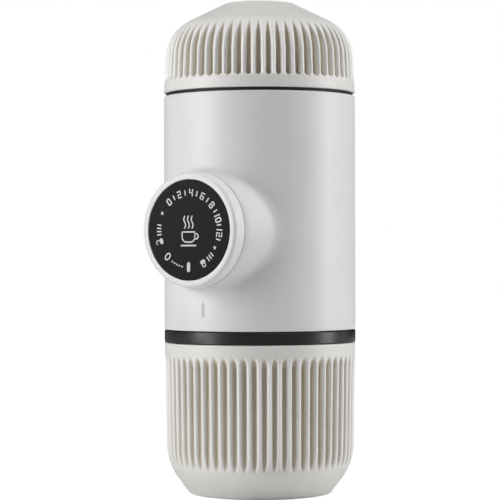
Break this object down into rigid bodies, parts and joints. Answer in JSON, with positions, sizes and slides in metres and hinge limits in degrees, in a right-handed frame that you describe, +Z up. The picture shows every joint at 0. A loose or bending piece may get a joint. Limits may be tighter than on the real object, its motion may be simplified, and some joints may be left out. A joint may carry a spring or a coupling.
{
  "type": "manual espresso maker",
  "caption": "Handheld manual espresso maker: body with a side piston, screw-on water tank, screw-in portafilter with basket, and a drinking cup that covers the outlet.",
  "frame": {"origin": "centre of the foot of the cup, where the espresso maker stands", "axes": "+Z up along the body, -Y out of the piston knob's face, +X to the knob's right as seen from the front"},
  "size_m": [0.061, 0.069, 0.156],
  "materials": {
    "body_shell": "satin, smooth moulded",
    "tank_socket": "satin",
    "inlet_strainer": "brushed",
    "vent_valve": "matte",
    "suction_tube": "translucent",
    "inner_frame": "matte",
    "pump_barrel": "satin",
    "barrel_seal": "matte",
    "valve_block": "matte",
    "inlet_fitting": "satin",
    "inlet_valve": "matte",
    "outlet_fitting": "satin",
    "outlet_valve_spring": "brushed",
    "delivery_tube": "translucent",
    "pump_collar": "satin, smooth moulded",
    "return_spring": "brushed",
    "group_head": "satin",
    "group_gasket": "matte",
    "shower_screen": "brushed",
    "screen_screw": "brushed",
    "flange_screws": "brushed",
    "group_screws": "brushed",
    "socket_screws": "brushed",
    "tank_seal": "matte",
    "water_tank": "satin, ribbed",
    "plunger": "satin",
    "plunger_seal": "matte",
    "plunger_clip": "brushed",
    "piston_knob": "satin, smooth moulded",
    "knob_badge": "fine grained",
    "filter_basket": "brushed",
    "portafilter": "satin",
    "outlet_head": "satin",
    "outlet_seal": "matte",
    "cup_grip_ring": "matte",
    "cup": "satin, ribbed",
    "outlet_poppet": "satin"
  },
  "bodies": {
    "pump_body": {"body_shell": "body_shell", "tank_socket": "tank_socket", "inlet_strainer": "inlet_strainer", "vent_valve": "vent_valve", "suction_tube": "suction_tube", "inner_frame": "inner_frame", "pump_barrel": "pump_barrel", "barrel_seal": "barrel_seal", "valve_block": "valve_block", "inlet_fitting": "inlet_fitting", "inlet_valve": "inlet_valve", "outlet_fitting": "outlet_fitting", "outlet_valve_spring": "outlet_valve_spring", "delivery_tube": "delivery_tube", "pump_collar": "pump_collar", "return_spring": "return_spring", "group_head": "group_head", "group_gasket": "group_gasket", "shower_screen": "shower_screen", "screen_screw": "screen_screw", "flange_screws": "flange_screws", "group_screws": "group_screws", "socket_screws": "socket_screws"},
    "lifting_seal": {"tank_seal": "tank_seal"},
    "tank": {"water_tank": "water_tank"},
    "piston": {"plunger": "plunger", "plunger_seal": "plunger_seal", "plunger_clip": "plunger_clip"},
    "knob": {"piston_knob": "piston_knob", "knob_badge": "knob_badge"},
    "basket": {"filter_basket": "filter_basket"},
    "holder": {"portafilter": "portafilter", "outlet_head": "outlet_head", "outlet_seal": "outlet_seal", "cup_grip_ring": "cup_grip_ring"},
    "drinking_cup": {"cup": "cup"},
    "outlet_valve": {"outlet_poppet": "outlet_poppet"}
  },
  "joints": [
    {"name": "tank_lift", "type": "slide", "parent": "pump_body", "child": "lifting_seal", "axis": [0, 0, 1], "range_m": [0, 0.018]},
    {"name": "tank_turn", "type": "hinge", "parent": "lifting_seal", "child": "tank", "pos_m": [0, 0, 0.1273], "axis": [0, 0, 1], "range_deg": [0, 720]},
    {"name": "pump_stroke", "type": "slide", "parent": "pump_body", "child": "piston", "axis": [0, -1, 0], "range_m": [0, 0.018], "deforming": ["return_spring"]},
    {"name": "knob_turn", "type": "hinge", "parent": "piston", "child": "knob", "pos_m": [0, -0.034, 0.0836], "axis": [0, -1, 0], "range_deg": [0, 45]},
    {"name": "basket_drop", "type": "slide", "parent": "pump_body", "child": "basket", "axis": [0, 0, -1], "range_m": [0, 0.009]},
    {"name": "portafilter_turn", "type": "hinge", "parent": "basket", "child": "holder", "pos_m": [0, 0, 0.05], "axis": [0, 0, -1], "range_deg": [0, 540]},
    {"name": "cup_pull", "type": "slide", "parent": "holder", "child": "drinking_cup", "axis": [0, 0, -1], "range_m": [0, 0.055]},
    {"name": "outlet_valve_lift", "type": "slide", "parent": "pump_body", "child": "outlet_valve", "axis": [0, 0, -1], "range_m": [0, 0.0012], "stiffness_N_per_m": 300, "springref_m": -0.001, "deforming": ["outlet_valve_spring"]}
  ],
  "couplings": [
    {"joint": "tank_turn", "follows": "tank_lift", "rad_per_m": 698.13},
    {"joint": "portafilter_turn", "follows": "basket_drop", "rad_per_m": 1047.2}
  ]
}
